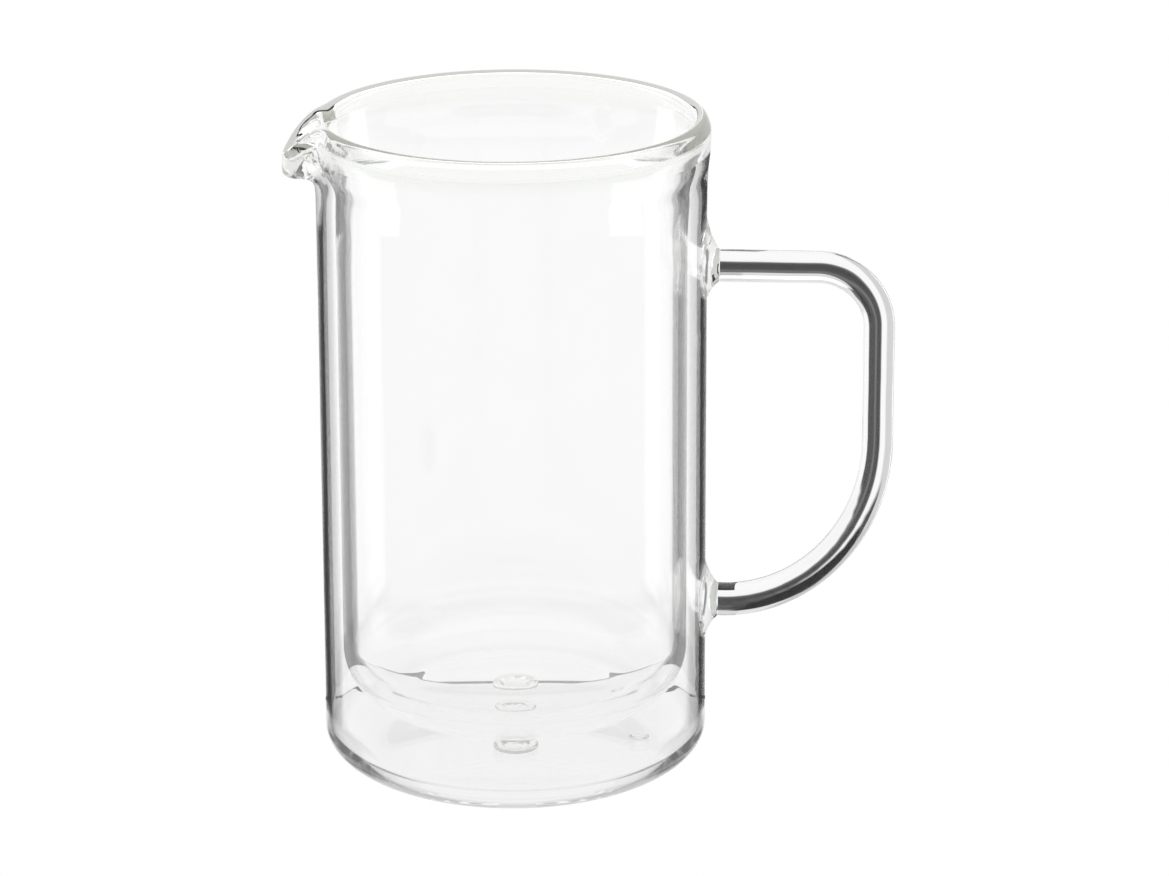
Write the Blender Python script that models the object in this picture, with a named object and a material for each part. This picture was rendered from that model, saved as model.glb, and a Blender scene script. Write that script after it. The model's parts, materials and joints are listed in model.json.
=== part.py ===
"""Double-walled glass pouring jug: vessel, jacket, fused rim with a drawn lip, and a bent rod handle.

Metres, +Z up. The origin is the centre of the flat underside, on the axis of the vessel. The pouring
lip points along -X and the handle along +X, both leaning a few degrees to -Y. Every piece is
borosilicate glass, made on its own and then flame-fused to its neighbours, so each fused joint is
drawn as a clearance of JOINT.
"""

import math

import bmesh
import bpy
from mathutils import Matrix, Vector

MM = 0.001

# Driving dimensions
HEIGHT = 174.4 * MM  # underside to crest of the rim
OUTER_RADIUS = 50.0 * MM  # outside of the jacket
WALL = 1.6 * MM  # jacket wall
BORE_RADIUS = 42.7 * MM  # inside of the inner vessel
INNER_WALL = 2.3 * MM
JOINT = 0.3 * MM  # clearance at every fused joint

# Floors and bottom corners; a corner is a quarter ellipse, radial by vertical
INNER_UNDERSIDE = 16.0 * MM
INNER_FLOOR = 19.8 * MM
INNER_CORNER = (19.0 * MM, 17.0 * MM)
BASE_FLOOR = 2.4 * MM
BASE_CORNER = (18.0 * MM, 11.0 * MM)
CORNER_DROP = 1.0 * MM  # how much lower the inside of a corner is than its outside
BASE_SEAM = 16.0 * MM  # height of the joint between the base cup and the jacket sleeve
CORNER_STEPS = 7

# Fused rim, as (radius, height) in mm
RIM_JOINT = 166.0  # height of the joint under the rim bead
RIM_OUTSIDE = ((50.9, 168.2), (50.9, 170.4), (50.3, 172.6), (49.5, 173.9), (48.4, 174.4))
RIM_INSIDE = ((47.3, 173.9), (46.6, 172.6), (46.1, 170.4), (45.8, 168.2))
SHOULDER_OUTSIDE = ((50.7, 165.0), (50.35, 161.5), (50.1, 157.0), (50.0, 150.0))
THROAT_INSIDE = ((42.7, 142.0), (42.9, 149.0), (43.6, 156.0), (44.7, 162.0))
GAP_JACKET_SIDE = ((48.4, 150.0), (48.45, 158.0), (48.8, 163.5))
GAP_VESSEL_SIDE = ((46.6, 163.2), (46.1, 160.0), (45.6, 156.0), (45.1, 149.0), (45.0, 142.0))
GAP_CROWN = ((47.3, 168.0), (47.7, 169.4), (48.1, 169.9), (48.5, 169.4), (48.75, 168.0))  # where the air gap ends
JOINT_RADII = (45.45, 47.0, 48.9, 50.8)  # bore, the two sides of the air gap, and outside

# Pouring lip: how far the soft rim is drawn, as rows of (height, out, up) in mm for its two surfaces
LIP_ANGLE = math.radians(183.0)
LIP_SPREAD = math.radians(20.0)  # half of the sector that moves
LIP_CUT = math.radians(24.0)  # half of the sector that the lip piece takes out of the rim
LIP_OUTSIDE = (
    (154.0, 0.0, 0.0),
    (157.0, 0.15, -0.1),
    (161.5, 1.6, -3.2),
    (165.0, 5.4, -6.3),
    (168.2, 7.3, -7.8),
    (170.4, 7.4, -8.0),
    (172.6, 7.9, -8.6),
    (174.4, 8.9, -9.2),
)
LIP_INSIDE = (
    (142.0, 0.0, 0.0),
    (149.0, -0.3, 0.0),
    (156.0, -0.8, 0.0),
    (160.0, 0.3, 0.0),
    (163.5, 2.2, -0.2),
    (166.0, 4.0, -0.9),
    (168.2, 5.2, -1.6),
    (170.4, 7.3, -3.6),
    (172.6, 8.9, -6.3),
    (174.4, 8.9, -9.2),
)
LIP_OUT_POWER = 1.3  # the pull fades sideways as a cosine squared to these powers
LIP_DOWN_POWER = 2.3

# Handle: centre line in its own upright plane, by distance from the vessel's axis and height
HANDLE_ANGLE = math.radians(-4.0)
UPPER_ARM = 135.4 * MM
LOWER_ARM = 45.0 * MM
GRIP_REACH = 94.1 * MM
UPPER_BEND = 15.7 * MM
LOWER_BEND = 44.2 * MM  # height of the large bend; it reaches in to the end of the rod's lower stub
ROD_STUB = 1.0 * MM  # straight end of the rod at each weld
ROD_RADIUS = 4.05 * MM
ROD_SWELL = {"upper": 1.03, "grip": 0.97, "lower": 1.07}  # the rod thickens towards its lower end
ROD_BEVEL_RESOLUTION = 4
ARC_STEPS = 12

# Weld gathers between the rod and the jacket: (arm height, half width, rise, drop) of each footprint
WELD_FOOTPRINTS = {
    "handle_weld_upper": (UPPER_ARM, 8.6 * MM, 12.2 * MM, 8.4 * MM),
    "handle_weld_lower": (LOWER_ARM, 8.6 * MM, 9.6 * MM, 9.8 * MM),
}
WELD_REACH = 53.0 * MM  # where the gather ends and the rod begins
WELD_NECK = 4.5 * MM
WELD_FEATHER = 0.25 * MM  # thickness left at the footprint's edge
WELD_FLARE = 1.7  # power of the concave flare
WELD_SIDES = 28
WELD_RINGS = 5
WELD_INNER_RING = 0.5  # share of the footprint at which its curved face has an extra ring

# Gathers where the flame closed a floor, and the seal of the vent hole
GATHER_RADIUS = 6.0 * MM
GATHER_HEIGHT = 1.5 * MM
VENT_PLACE = (32.7 * MM, 5.4 * MM)
VENT_RADIUS = 2.8 * MM
VENT_HEIGHT = 1.0 * MM
VENT_LIFT = 0.15 * MM  # the floor has begun to rise towards its corner there
GATHER_SECTION = (
    (0.0, 0.0),
    (0.82, 0.0),
    (0.97, 0.28),
    (1.0, 0.55),
    (0.93, 0.85),
    (0.78, 1.0),
    (0.5, 0.86),
    (0.0, 0.7),
)  # shares of the radius and height, with a dimple where the flame left the glass

# Angular steps
LIP_STEPS = 24
REST_STEPS = 52
BASE_STEPS = 60
GATHER_STEPS = 24

SMOOTH_ANGLE = math.radians(40.0)
MERGE_DISTANCE = 1e-7
WHOLE_TURN_TOLERANCE = 1e-9
GLASS_INDEX = 1.47
GLASS_ROUGHNESS = 0.02
GLASS_TINTS = {
    "body_glass": (0.93, 0.95, 0.94),
    "rim_glass": (0.84, 0.87, 0.82),
    "rod_glass": (0.90, 0.92, 0.92),
    "weld_glass": (0.90, 0.92, 0.91),
}


def clear_scene():
    for old in list(bpy.data.objects):
        bpy.data.objects.remove(old, do_unlink=True)


def glass(name):
    material = bpy.data.materials.new(name)
    material.use_nodes = True
    shader = material.node_tree.nodes["Principled BSDF"]
    shader.inputs["Base Color"].default_value = (*GLASS_TINTS[name], 1.0)
    shader.inputs["Roughness"].default_value = GLASS_ROUGHNESS
    shader.inputs["Metallic"].default_value = 0.0
    shader.inputs["IOR"].default_value = GLASS_INDEX
    shader.inputs["Transmission Weight"].default_value = 1.0
    return material


def finish_mesh(name, bm, material):
    """Turns a bmesh into a smooth-shaded object with its faces out."""
    bmesh.ops.recalc_face_normals(bm, faces=bm.faces)
    mesh = bpy.data.meshes.new(name)
    bm.to_mesh(mesh)
    bm.free()
    mesh.materials.append(material)
    mesh.shade_smooth()
    mesh.set_sharp_from_angle(angle=SMOOTH_ANGLE)
    item = bpy.data.objects.new(name, mesh)
    bpy.context.scene.collection.objects.link(item)
    return item


def millimetres(rows):
    return [(radius * MM, height * MM) for radius, height in rows]


def corner(centre, radii, start, end):
    """Points of an elliptic arc between two angles, about a centre at (radius, height)."""
    points = []
    for step in range(CORNER_STEPS + 1):
        angle = start + (end - start) * step / CORNER_STEPS
        radius = centre[0] + radii[0] * math.cos(angle)
        points.append((radius, centre[1] + radii[1] * math.sin(angle)))
    return points


def spin(bm, outline, start, sweeps):
    """Spins an outline of (radius, height) about Z through (sweep, steps) pairs; a part turn gets ends."""
    whole = abs(sum(sweep for sweep, _ in sweeps) - math.tau) < WHOLE_TURN_TOLERANCE
    verts = [bm.verts.new((radius, 0.0, height)) for radius, height in outline]
    meets_axis = outline[0][0] == 0.0
    pairs = list(zip(verts, verts[1:])) + ([] if meets_axis else [(verts[-1], verts[0])])
    first = [bm.edges.new(pair) for pair in pairs]
    bmesh.ops.rotate(bm, verts=verts, matrix=Matrix.Rotation(start, 3, "Z"))
    moving = verts + first
    centre, axis = Vector((0.0, 0.0, 0.0)), Vector((0.0, 0.0, 1.0))
    for sweep, steps in sweeps:
        spun = bmesh.ops.spin(bm, geom=moving, cent=centre, axis=axis, angle=sweep, steps=steps)
        moving = spun["geom_last"]
    if not whole:
        last = [piece for piece in moving if isinstance(piece, bmesh.types.BMEdge)]
        bmesh.ops.edgeloop_fill(bm, edges=first)
        bmesh.ops.edgeloop_fill(bm, edges=last)
    bmesh.ops.remove_doubles(bm, verts=bm.verts, dist=MERGE_DISTANCE)


def spin_with_lip(bm, outline):
    """A whole turn, with finer steps where the lip is drawn."""
    lip_sweep = 2.0 * LIP_CUT
    sweeps = [(lip_sweep, LIP_STEPS), (math.tau - lip_sweep, REST_STEPS)]
    spin(bm, outline, LIP_ANGLE - LIP_CUT, sweeps)


def pull_at(table, height):
    """(out, up) in mm of a pull table at a height in mm."""
    if height <= table[0][0]:
        return 0.0, 0.0
    for low, high in zip(table, table[1:]):
        if height <= high[0]:
            share = (height - low[0]) / (high[0] - low[0])
            return low[1] + (high[1] - low[1]) * share, low[2] + (high[2] - low[2]) * share
    return table[-1][1:]


def jacket_share(radius, height):
    """0 on the bore side of the double wall and 1 on the outside, from a radius and height in mm."""
    throat = THROAT_INSIDE[0][1]
    lean = min(max((height - throat) / (HEIGHT / MM - throat), 0.0), 1.0)
    inside = (BORE_RADIUS + INNER_WALL) / MM + lean
    outside = OUTER_RADIUS / MM
    share = min(max((radius - inside) / (outside - inside), 0.0), 1.0)
    return share * share * (3.0 - 2.0 * share)


def draw_lip(bm):
    """Moves the soft rim out and down around the lip's direction."""
    for vert in bm.verts:
        radius = math.hypot(vert.co.x, vert.co.y)
        turn = math.remainder(math.atan2(vert.co.y, vert.co.x) - LIP_ANGLE, math.tau)
        if abs(turn) >= LIP_SPREAD or radius == 0.0:
            continue
        bump = math.cos(0.5 * math.pi * turn / LIP_SPREAD) ** 2
        height = vert.co.z / MM
        inside = Vector(pull_at(LIP_INSIDE, height))
        outside = Vector(pull_at(LIP_OUTSIDE, height))
        out, up = inside.lerp(outside, jacket_share(radius / MM, height)) * MM
        stretch = 1.0 + out * bump**LIP_OUT_POWER / radius
        rise = up * bump**LIP_DOWN_POWER
        vert.co = Vector((vert.co.x * stretch, vert.co.y * stretch, vert.co.z + rise))


def make_inner_vessel(material):
    """Closed blank that holds the drink; its wall leans out at the top to meet the jacket."""
    bore_corner = (INNER_CORNER[0] - INNER_WALL, INNER_CORNER[1] - CORNER_DROP)
    bore_centre = (BORE_RADIUS - bore_corner[0], INNER_FLOOR + bore_corner[1])
    outer_radius = BORE_RADIUS + INNER_WALL
    outer_centre = (outer_radius - INNER_CORNER[0], INNER_UNDERSIDE + INNER_CORNER[1])
    top = RIM_JOINT - 0.5 * JOINT / MM
    outline = [(0.0, INNER_FLOOR)]
    outline += corner(bore_centre, bore_corner, -0.5 * math.pi, 0.0)
    outline += [(BORE_RADIUS, 0.5 * HEIGHT)]
    outline += millimetres(THROAT_INSIDE + ((JOINT_RADII[0], top), (JOINT_RADII[1], top)))
    outline += millimetres(GAP_VESSEL_SIDE)
    outline += [(outer_radius, 0.5 * HEIGHT)]
    outline += corner(outer_centre, INNER_CORNER, 0.0, -0.5 * math.pi)
    outline += [(0.0, INNER_UNDERSIDE)]
    bm = bmesh.new()
    spin_with_lip(bm, outline)
    draw_lip(bm)
    return finish_mesh("inner_vessel", bm, material)


def make_outer_jacket(material):
    """Sleeve around the inner vessel, open at both ends until it is fused to the rim and the base cup."""
    top = RIM_JOINT - 0.5 * JOINT / MM
    seam = (BASE_SEAM + 0.5 * JOINT) / MM
    inner = (OUTER_RADIUS - WALL) / MM
    outer = OUTER_RADIUS / MM
    rows = ((inner, seam),) + GAP_JACKET_SIDE + ((JOINT_RADII[2], top), (JOINT_RADII[3], top))
    rows += SHOULDER_OUTSIDE + ((outer, seam),)
    bm = bmesh.new()
    spin_with_lip(bm, millimetres(rows))
    draw_lip(bm)
    return finish_mesh("outer_jacket", bm, material)


def make_base_cup(material):
    """Flat-bottomed cup with a rounded corner that closes the jacket."""
    seam = BASE_SEAM - 0.5 * JOINT
    inner_corner = (BASE_CORNER[0] - WALL, BASE_CORNER[1] - CORNER_DROP)
    inner_centre = (OUTER_RADIUS - BASE_CORNER[0], BASE_FLOOR + inner_corner[1])
    outer_centre = (OUTER_RADIUS - BASE_CORNER[0], BASE_CORNER[1])
    outline = [(0.0, 0.0)]
    outline += corner(outer_centre, BASE_CORNER, -0.5 * math.pi, 0.0)
    outline += [(OUTER_RADIUS, seam), (OUTER_RADIUS - WALL, seam)]
    outline += corner(inner_centre, inner_corner, 0.0, -0.5 * math.pi)
    outline += [(0.0, BASE_FLOOR)]
    bm = bmesh.new()
    spin(bm, outline, 0.0, [(math.tau, BASE_STEPS)])
    return finish_mesh("base_cup", bm, material)


def rim_section():
    """Closed section of the fused rim above its joint."""
    bottom = RIM_JOINT + 0.5 * JOINT / MM
    bore_foot, vessel_foot, jacket_foot, outer_foot = ((radius, bottom) for radius in JOINT_RADII)
    groove = (vessel_foot,) + GAP_CROWN + (jacket_foot,)
    return millimetres((outer_foot,) + RIM_OUTSIDE + RIM_INSIDE + (bore_foot,) + groove)


def make_rim_bead(material):
    """Fire-polished bead that joins the two walls, all round except at the lip."""
    cut = LIP_CUT + 0.5 * JOINT / OUTER_RADIUS
    bm = bmesh.new()
    spin(bm, rim_section(), LIP_ANGLE + cut, [(math.tau - 2.0 * cut, REST_STEPS)])
    return finish_mesh("rim_bead", bm, material)


def make_pouring_lip(material):
    """The stretch of rim that is drawn out into a drooping beak."""
    cut = LIP_CUT - 0.5 * JOINT / OUTER_RADIUS
    bm = bmesh.new()
    spin(bm, rim_section(), LIP_ANGLE - cut, [(2.0 * cut, LIP_STEPS)])
    draw_lip(bm)
    return finish_mesh("pouring_lip", bm, material)


def handle_point(reach, height):
    """A point in the handle's upright plane."""
    return Vector((reach * math.cos(HANDLE_ANGLE), reach * math.sin(HANDLE_ANGLE), height))


def bend(centre, radii, start, end, swells):
    """(reach, height, thickness factor) along an elliptic bend of the rod."""
    stations = []
    for step in range(ARC_STEPS + 1):
        share = step / ARC_STEPS
        angle = start + (end - start) * share
        reach = centre[0] + radii[0] * math.cos(angle)
        height = centre[1] + radii[1] * math.sin(angle)
        stations.append((reach, height, swells[0] + (swells[1] - swells[0]) * share))
    return stations


def handle_line():
    """(point, thickness factor) along the rod, from the upper weld round to the lower one."""
    end = WELD_REACH + JOINT
    upper, grip, lower = (ROD_SWELL[name] for name in ("upper", "grip", "lower"))
    upper_centre = (GRIP_REACH - UPPER_BEND, UPPER_ARM - UPPER_BEND)
    upper_radii = (UPPER_BEND, UPPER_BEND)
    lower_centre = (end + ROD_STUB, LOWER_ARM + LOWER_BEND)
    lower_radii = (GRIP_REACH - lower_centre[0], LOWER_BEND)
    quarter = 0.5 * math.pi
    line = [(end, UPPER_ARM, upper)]
    line += bend(upper_centre, upper_radii, quarter, 0.0, (upper, grip))
    line += bend(lower_centre, lower_radii, 0.0, -quarter, (grip, lower))
    line.append((end, LOWER_ARM, lower))
    return [(handle_point(reach, height), swell) for reach, height, swell in line]


def make_handle_rod(material):
    """Solid rod bent to a four-finger handle."""
    curve = bpy.data.curves.new("handle_rod", "CURVE")
    curve.dimensions = "3D"
    curve.bevel_depth = ROD_RADIUS
    curve.bevel_resolution = ROD_BEVEL_RESOLUTION
    curve.use_fill_caps = True
    line = handle_line()
    spline = curve.splines.new("POLY")
    spline.points.add(len(line) - 1)
    for point, (place, swell) in zip(spline.points, line):
        point.co = (*place, 1.0)
        point.radius = swell
    spline.use_smooth = True
    curve.materials.append(material)
    item = bpy.data.objects.new("handle_rod", curve)
    bpy.context.scene.collection.objects.link(item)
    return item


def weld_ring(bm, arm, sizes, lift):
    """One oval ring (half width, rise, drop) of a weld; lift runs from the jacket (0) to the neck (1)."""
    width, rise, drop = sizes
    ring = []
    for side in range(WELD_SIDES):
        angle = math.tau * side / WELD_SIDES
        across = width * math.cos(angle)
        up = (rise if math.sin(angle) > 0.0 else drop) * math.sin(angle)
        on_jacket = math.sqrt((OUTER_RADIUS + JOINT) ** 2 - across**2)
        reach = on_jacket + (WELD_REACH - on_jacket) * lift
        ring.append(bm.verts.new((reach, across, arm + up)))
    return ring


def join_rings(bm, rings):
    """Quads between each ring and the next."""
    for low, high in zip(rings, rings[1:]):
        for side in range(WELD_SIDES):
            after = (side + 1) % WELD_SIDES
            bm.faces.new((low[side], low[after], high[after], high[side]))


def make_weld(name, material):
    """Oval gather of glass that flares from the rod's neck onto the jacket."""
    arm, *footprint = WELD_FOOTPRINTS[name]
    bm = bmesh.new()
    rings = [weld_ring(bm, arm, [size * WELD_INNER_RING for size in footprint], 0.0)]
    rings.append(weld_ring(bm, arm, footprint, 0.0))
    feather = WELD_FEATHER / (WELD_REACH - OUTER_RADIUS - JOINT)
    for step in range(WELD_RINGS + 1):
        along = step / WELD_RINGS
        fade = (1.0 - along) ** WELD_FLARE
        sizes = [WELD_NECK + (size - WELD_NECK) * fade for size in footprint]
        rings.append(weld_ring(bm, arm, sizes, feather + (1.0 - feather) * along))
    join_rings(bm, rings)
    for ring, reach in ((rings[0], OUTER_RADIUS + JOINT), (rings[-1], WELD_REACH)):
        middle = bm.verts.new((reach, 0.0, arm))
        for here, after in zip(ring, ring[1:] + ring[:1]):
            bm.faces.new((here, after, middle))
    bmesh.ops.rotate(bm, verts=bm.verts, matrix=Matrix.Rotation(HANDLE_ANGLE, 3, "Z"))
    return finish_mesh(name, bm, material)


def make_gather(name, material, centre, radius, height):
    """Low round button with a softened edge, its foot at the centre given."""
    outline = [(radius * out, height * up) for out, up in GATHER_SECTION]
    bm = bmesh.new()
    spin(bm, outline, 0.0, [(math.tau, GATHER_STEPS)])
    item = finish_mesh(name, bm, material)
    item.location = centre
    return item


def build():
    clear_scene()
    body, rim, rod, weld = (glass(name) for name in GLASS_TINTS)
    make_inner_vessel(body)
    make_outer_jacket(body)
    make_base_cup(body)
    make_rim_bead(rim)
    make_pouring_lip(rim)
    make_handle_rod(rod)
    for name in WELD_FOOTPRINTS:
        make_weld(name, weld)
    inner_centre = (0.0, 0.0, INNER_FLOOR + JOINT)
    base_centre = (0.0, 0.0, BASE_FLOOR + JOINT)
    vent_centre = (*VENT_PLACE, BASE_FLOOR + JOINT + VENT_LIFT)
    make_gather("inner_floor_gather", body, inner_centre, GATHER_RADIUS, GATHER_HEIGHT)
    make_gather("base_floor_gather", body, base_centre, GATHER_RADIUS, GATHER_HEIGHT)
    make_gather("vent_seal", body, vent_centre, VENT_RADIUS, VENT_HEIGHT)


build()
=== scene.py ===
"""Looks of the double-walled glass jug: fused glass pieces, a bright-field studio and the camera."""

import json
import math
import bmesh
import bpy
import numpy as np
from mathutils import Matrix, Vector

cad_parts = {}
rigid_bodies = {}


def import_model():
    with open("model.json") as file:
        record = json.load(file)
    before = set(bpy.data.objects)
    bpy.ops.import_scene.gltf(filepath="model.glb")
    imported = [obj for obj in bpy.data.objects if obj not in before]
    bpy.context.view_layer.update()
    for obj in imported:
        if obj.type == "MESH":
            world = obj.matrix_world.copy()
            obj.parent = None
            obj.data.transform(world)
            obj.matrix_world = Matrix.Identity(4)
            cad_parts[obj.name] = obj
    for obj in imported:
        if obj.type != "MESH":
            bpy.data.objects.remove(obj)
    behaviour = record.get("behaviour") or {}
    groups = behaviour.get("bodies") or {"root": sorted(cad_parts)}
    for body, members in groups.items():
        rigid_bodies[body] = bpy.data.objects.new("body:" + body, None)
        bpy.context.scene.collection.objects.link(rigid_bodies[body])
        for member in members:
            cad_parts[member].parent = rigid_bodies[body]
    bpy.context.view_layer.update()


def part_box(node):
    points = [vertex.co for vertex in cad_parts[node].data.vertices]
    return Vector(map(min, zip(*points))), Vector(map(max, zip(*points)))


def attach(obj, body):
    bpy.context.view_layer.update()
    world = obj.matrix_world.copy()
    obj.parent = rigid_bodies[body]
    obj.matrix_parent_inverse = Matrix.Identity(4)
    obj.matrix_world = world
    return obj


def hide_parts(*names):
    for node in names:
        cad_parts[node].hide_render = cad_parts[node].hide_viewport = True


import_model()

MM = 0.001

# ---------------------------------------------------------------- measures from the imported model
# All lengths below are in millimetres, from the jug's axis and underside.
base_low, base_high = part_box("base_cup")
OUTER_RADIUS = 0.5 * (base_high.x - base_low.x) / MM
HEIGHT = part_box("rim_bead")[1].z / MM

WALL = 1.6  # outer jacket
BORE_RADIUS = 42.7
INNER_WALL = 2.3
INNER_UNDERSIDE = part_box("inner_vessel")[0].z / MM
INNER_FLOOR = 19.8
INNER_CORNER = (19.0, 17.0)
BASE_FLOOR = 2.4
BASE_CORNER = (18.0, 11.0)
CORNER_DROP = 1.0  # how much lower the inside of a corner is than its outside
BASE_SEAM = 16.0  # joint between the base cup and the jacket
RIM_JOINT = 166.0  # joint under the rim bead
VESSEL_TOP, JACKET_TOP = 47.0, 48.9  # the two sides of the air gap at the joint under the rim

LIP_ANGLE = math.radians(183.0)
LIP_SPREAD = math.radians(20.0)  # half of the sector that is drawn out
LIP_CUT = math.radians(24.0)  # half of the sector that the lip piece takes out of the rim
HANDLE_ANGLE = math.radians(-4.0)

# The rim and both of its shoulders as one line, from the bore over the crest to the outside
RIM_LINE = [
    (42.7, 138.0),
    (42.7, 142.0),
    (42.9, 149.0),
    (43.6, 156.0),
    (44.7, 162.0),
    (45.45, 166.0),
    (45.8, 168.2),
    (46.1, 170.4),
    (46.6, 172.6),
    (47.3, 173.9),
    (48.4, 174.4),
    (49.5, 173.9),
    (50.3, 172.6),
    (50.9, 170.4),
    (50.9, 168.2),
    (50.8, 166.0),
    (50.7, 165.0),
    (50.35, 161.5),
    (50.1, 157.0),
    (50.0, 150.0),
    (50.0, 146.0),
]
BORE_POINT, OUTSIDE_POINT = 5, 15  # the points of the line where the rim bead begins and ends
GAP_VESSEL_SIDE = [
    (VESSEL_TOP, RIM_JOINT),
    (46.6, 163.2),
    (46.1, 160.0),
    (45.6, 156.0),
    (45.1, 149.0),
    (45.0, 142.0),
    (45.0, 138.0),
]
GAP_JACKET_SIDE = [(48.4, 146.0), (48.4, 150.0), (48.45, 158.0), (48.8, 163.5), (JACKET_TOP, RIM_JOINT)]
GAP_CROWN = [
    (JACKET_TOP, RIM_JOINT),
    (48.8, 167.8),
    (48.5, 169.3),
    (48.1, 169.9),
    (47.7, 169.4),
    (47.3, 168.0),
    (VESSEL_TOP, RIM_JOINT),
]

# How far the lip moves the glass, as (height, out, up), on its outside and its inside
LIP_OUTSIDE = [
    (154.0, 0.0, 0.0),
    (157.0, 0.15, -0.1),
    (161.5, 1.6, -3.2),
    (165.0, 5.4, -6.3),
    (168.2, 7.3, -7.8),
    (170.4, 7.4, -8.0),
    (172.6, 7.9, -8.6),
    (174.4, 8.9, -9.2),
]
LIP_INSIDE = [
    (142.0, 0.0, 0.0),
    (149.0, -0.3, 0.0),
    (156.0, -0.8, 0.0),
    (160.0, 0.3, 0.0),
    (163.5, 2.2, -0.2),
    (166.0, 4.0, -0.9),
    (168.2, 5.2, -1.6),
    (170.4, 7.3, -3.6),
    (172.6, 8.9, -6.3),
    (174.4, 8.9, -9.2),
]
LIP_OUT_POWER = 1.3  # the pull fades sideways as a cosine squared to these powers
LIP_DOWN_POWER = 2.3
SHOULDER_FOOT = LIP_INSIDE[0][0]  # height at which the inner wall starts to lean out

UPPER_ARM = 135.4
LOWER_ARM = 45.0
GRIP_REACH = 94.1
UPPER_BEND = 15.7
LOWER_BEND = 44.2
ROD_RADIUS = 4.05
ROD_SWELL = (1.03, 0.97, 1.07)  # upper arm, grip and lower arm
ROD_STUB = 1.15  # straight end of the lower arm
WELD_REACH = 53.15  # where the gather ends and the rod begins
# (arm height, half width, rise, drop) of each footprint on the jacket
WELD_FOOTPRINTS = {"upper": (UPPER_ARM, 8.8, 12.4, 8.6), "lower": (LOWER_ARM, 8.8, 10.6, 10.2)}
WELD_CONE = 0.6  # 0 is a round flare, 1 a straight cone
WELD_STEPS = 14
PATCH_HALF = 15.0  # half of the square patch of the jacket around a footprint
PATCH_CELLS = 24

GATHER_RADIUS = 6.0
GATHER_HEIGHT = 1.5
GATHER_FOOT = 0.82  # share of the radius that is fused to the floor
# The sections of a gather and of the vent, as shares of radius and height
GATHER_SECTION = (
    (GATHER_FOOT, 0.0),
    (0.97, 0.15),
    (1.0, 0.5),
    (0.95, 0.88),
    (0.82, 1.0),
    (0.66, 0.78),
    (0.5, 0.4),
    (0.25, 0.22),
    (0.0, 0.2),
)
VENT_PLACE = (32.7, 5.4)
VENT_RADIUS = 2.8
VENT_HEIGHT = 1.0
VENT_SECTION = ((0.9, 0.0), (1.0, 0.3), (0.9, 0.75), (0.6, 1.0), (0.25, 0.9), (0.0, 0.82))

SIDE_CELLS = 110  # stations between the handle's patch and the lip, on each side
LIP_CELLS = 84
RIM_STEP = 0.45
GAP_STEP = 0.5
CROWN_STEP = 0.3
SAME_POINT = 1e-6
ON_AXIS = 1e-9
GLASS, JOINT = 0, 1  # material slots


# ---------------------------------------------------------------- lines and tables
def spline(points, step):
    """A smooth line through the points at about the given step, and the index of each point in it."""
    pts = np.array(points, float)
    gaps = np.linalg.norm(np.diff(pts, axis=0), axis=1)
    at = np.concatenate([[0.0], np.cumsum(gaps)])
    slopes = np.zeros_like(pts)
    for i in range(1, len(pts) - 1):
        left, right = (pts[i] - pts[i - 1]) / gaps[i - 1], (pts[i + 1] - pts[i]) / gaps[i]
        slopes[i] = (left * gaps[i] + right * gaps[i - 1]) / (gaps[i - 1] + gaps[i])
    slopes[0] = (pts[1] - pts[0]) / gaps[0]
    slopes[-1] = (pts[-1] - pts[-2]) / gaps[-1]
    line, marks = [tuple(pts[0])], [0]
    for i in range(len(pts) - 1):
        count = max(1, int(math.ceil(gaps[i] / step)))
        for k in range(1, count + 1):
            t = k / count
            h00, h10 = 2 * t**3 - 3 * t**2 + 1, t**3 - 2 * t**2 + t
            h01, h11 = -2 * t**3 + 3 * t**2, t**3 - t**2
            p = h00 * pts[i] + h10 * gaps[i] * slopes[i] + h01 * pts[i + 1] + h11 * gaps[i] * slopes[i + 1]
            line.append(tuple(p))
        marks.append(len(line) - 1)
    return line, marks


def arc(centre, radii, start, end, count):
    """Part of an ellipse between two angles in degrees, as (radius, height) points."""
    out = []
    for k in range(count + 1):
        a = math.radians(start + (end - start) * k / count)
        out.append((centre[0] + radii[0] * math.cos(a), centre[1] + radii[1] * math.sin(a)))
    return out


def straight(start, end, count):
    """Evenly spaced points from start to end."""
    start, way = np.array(start), np.array(end) - np.array(start)
    return [tuple(start + way * k / count) for k in range(count + 1)]


def smooth_table(rows):
    """Monotone cubic interpolation of a (height, out, up) table, as a function of an array of heights."""
    t = np.array(rows, float)
    x = t[:, 0]

    def slopes(y):
        h, d = np.diff(x), np.diff(y) / np.diff(x)
        m = np.zeros(len(x))
        for i in range(1, len(x) - 1):
            if d[i - 1] * d[i] > 0.0:
                w1, w2 = 2 * h[i] + h[i - 1], h[i] + 2 * h[i - 1]
                m[i] = (w1 + w2) / (w1 / d[i - 1] + w2 / d[i])
        m[-1] = d[-1]
        return m

    tables = [(t[:, k], slopes(t[:, k])) for k in (1, 2)]

    def at(height):
        q = np.clip(height, x[0], x[-1])
        i = np.clip(np.searchsorted(x, q, side="right") - 1, 0, len(x) - 2)
        h = x[i + 1] - x[i]
        s = (q - x[i]) / h
        h00, h10 = 2 * s**3 - 3 * s**2 + 1, s**3 - 2 * s**2 + s
        h01, h11 = -2 * s**3 + 3 * s**2, s**3 - s**2
        return [h00 * y[i] + h10 * h * m[i] + h01 * y[i + 1] + h11 * h * m[i + 1] for y, m in tables]

    return at


LIP_OUTSIDE_AT = smooth_table(LIP_OUTSIDE)
LIP_INSIDE_AT = smooth_table(LIP_INSIDE)


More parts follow.
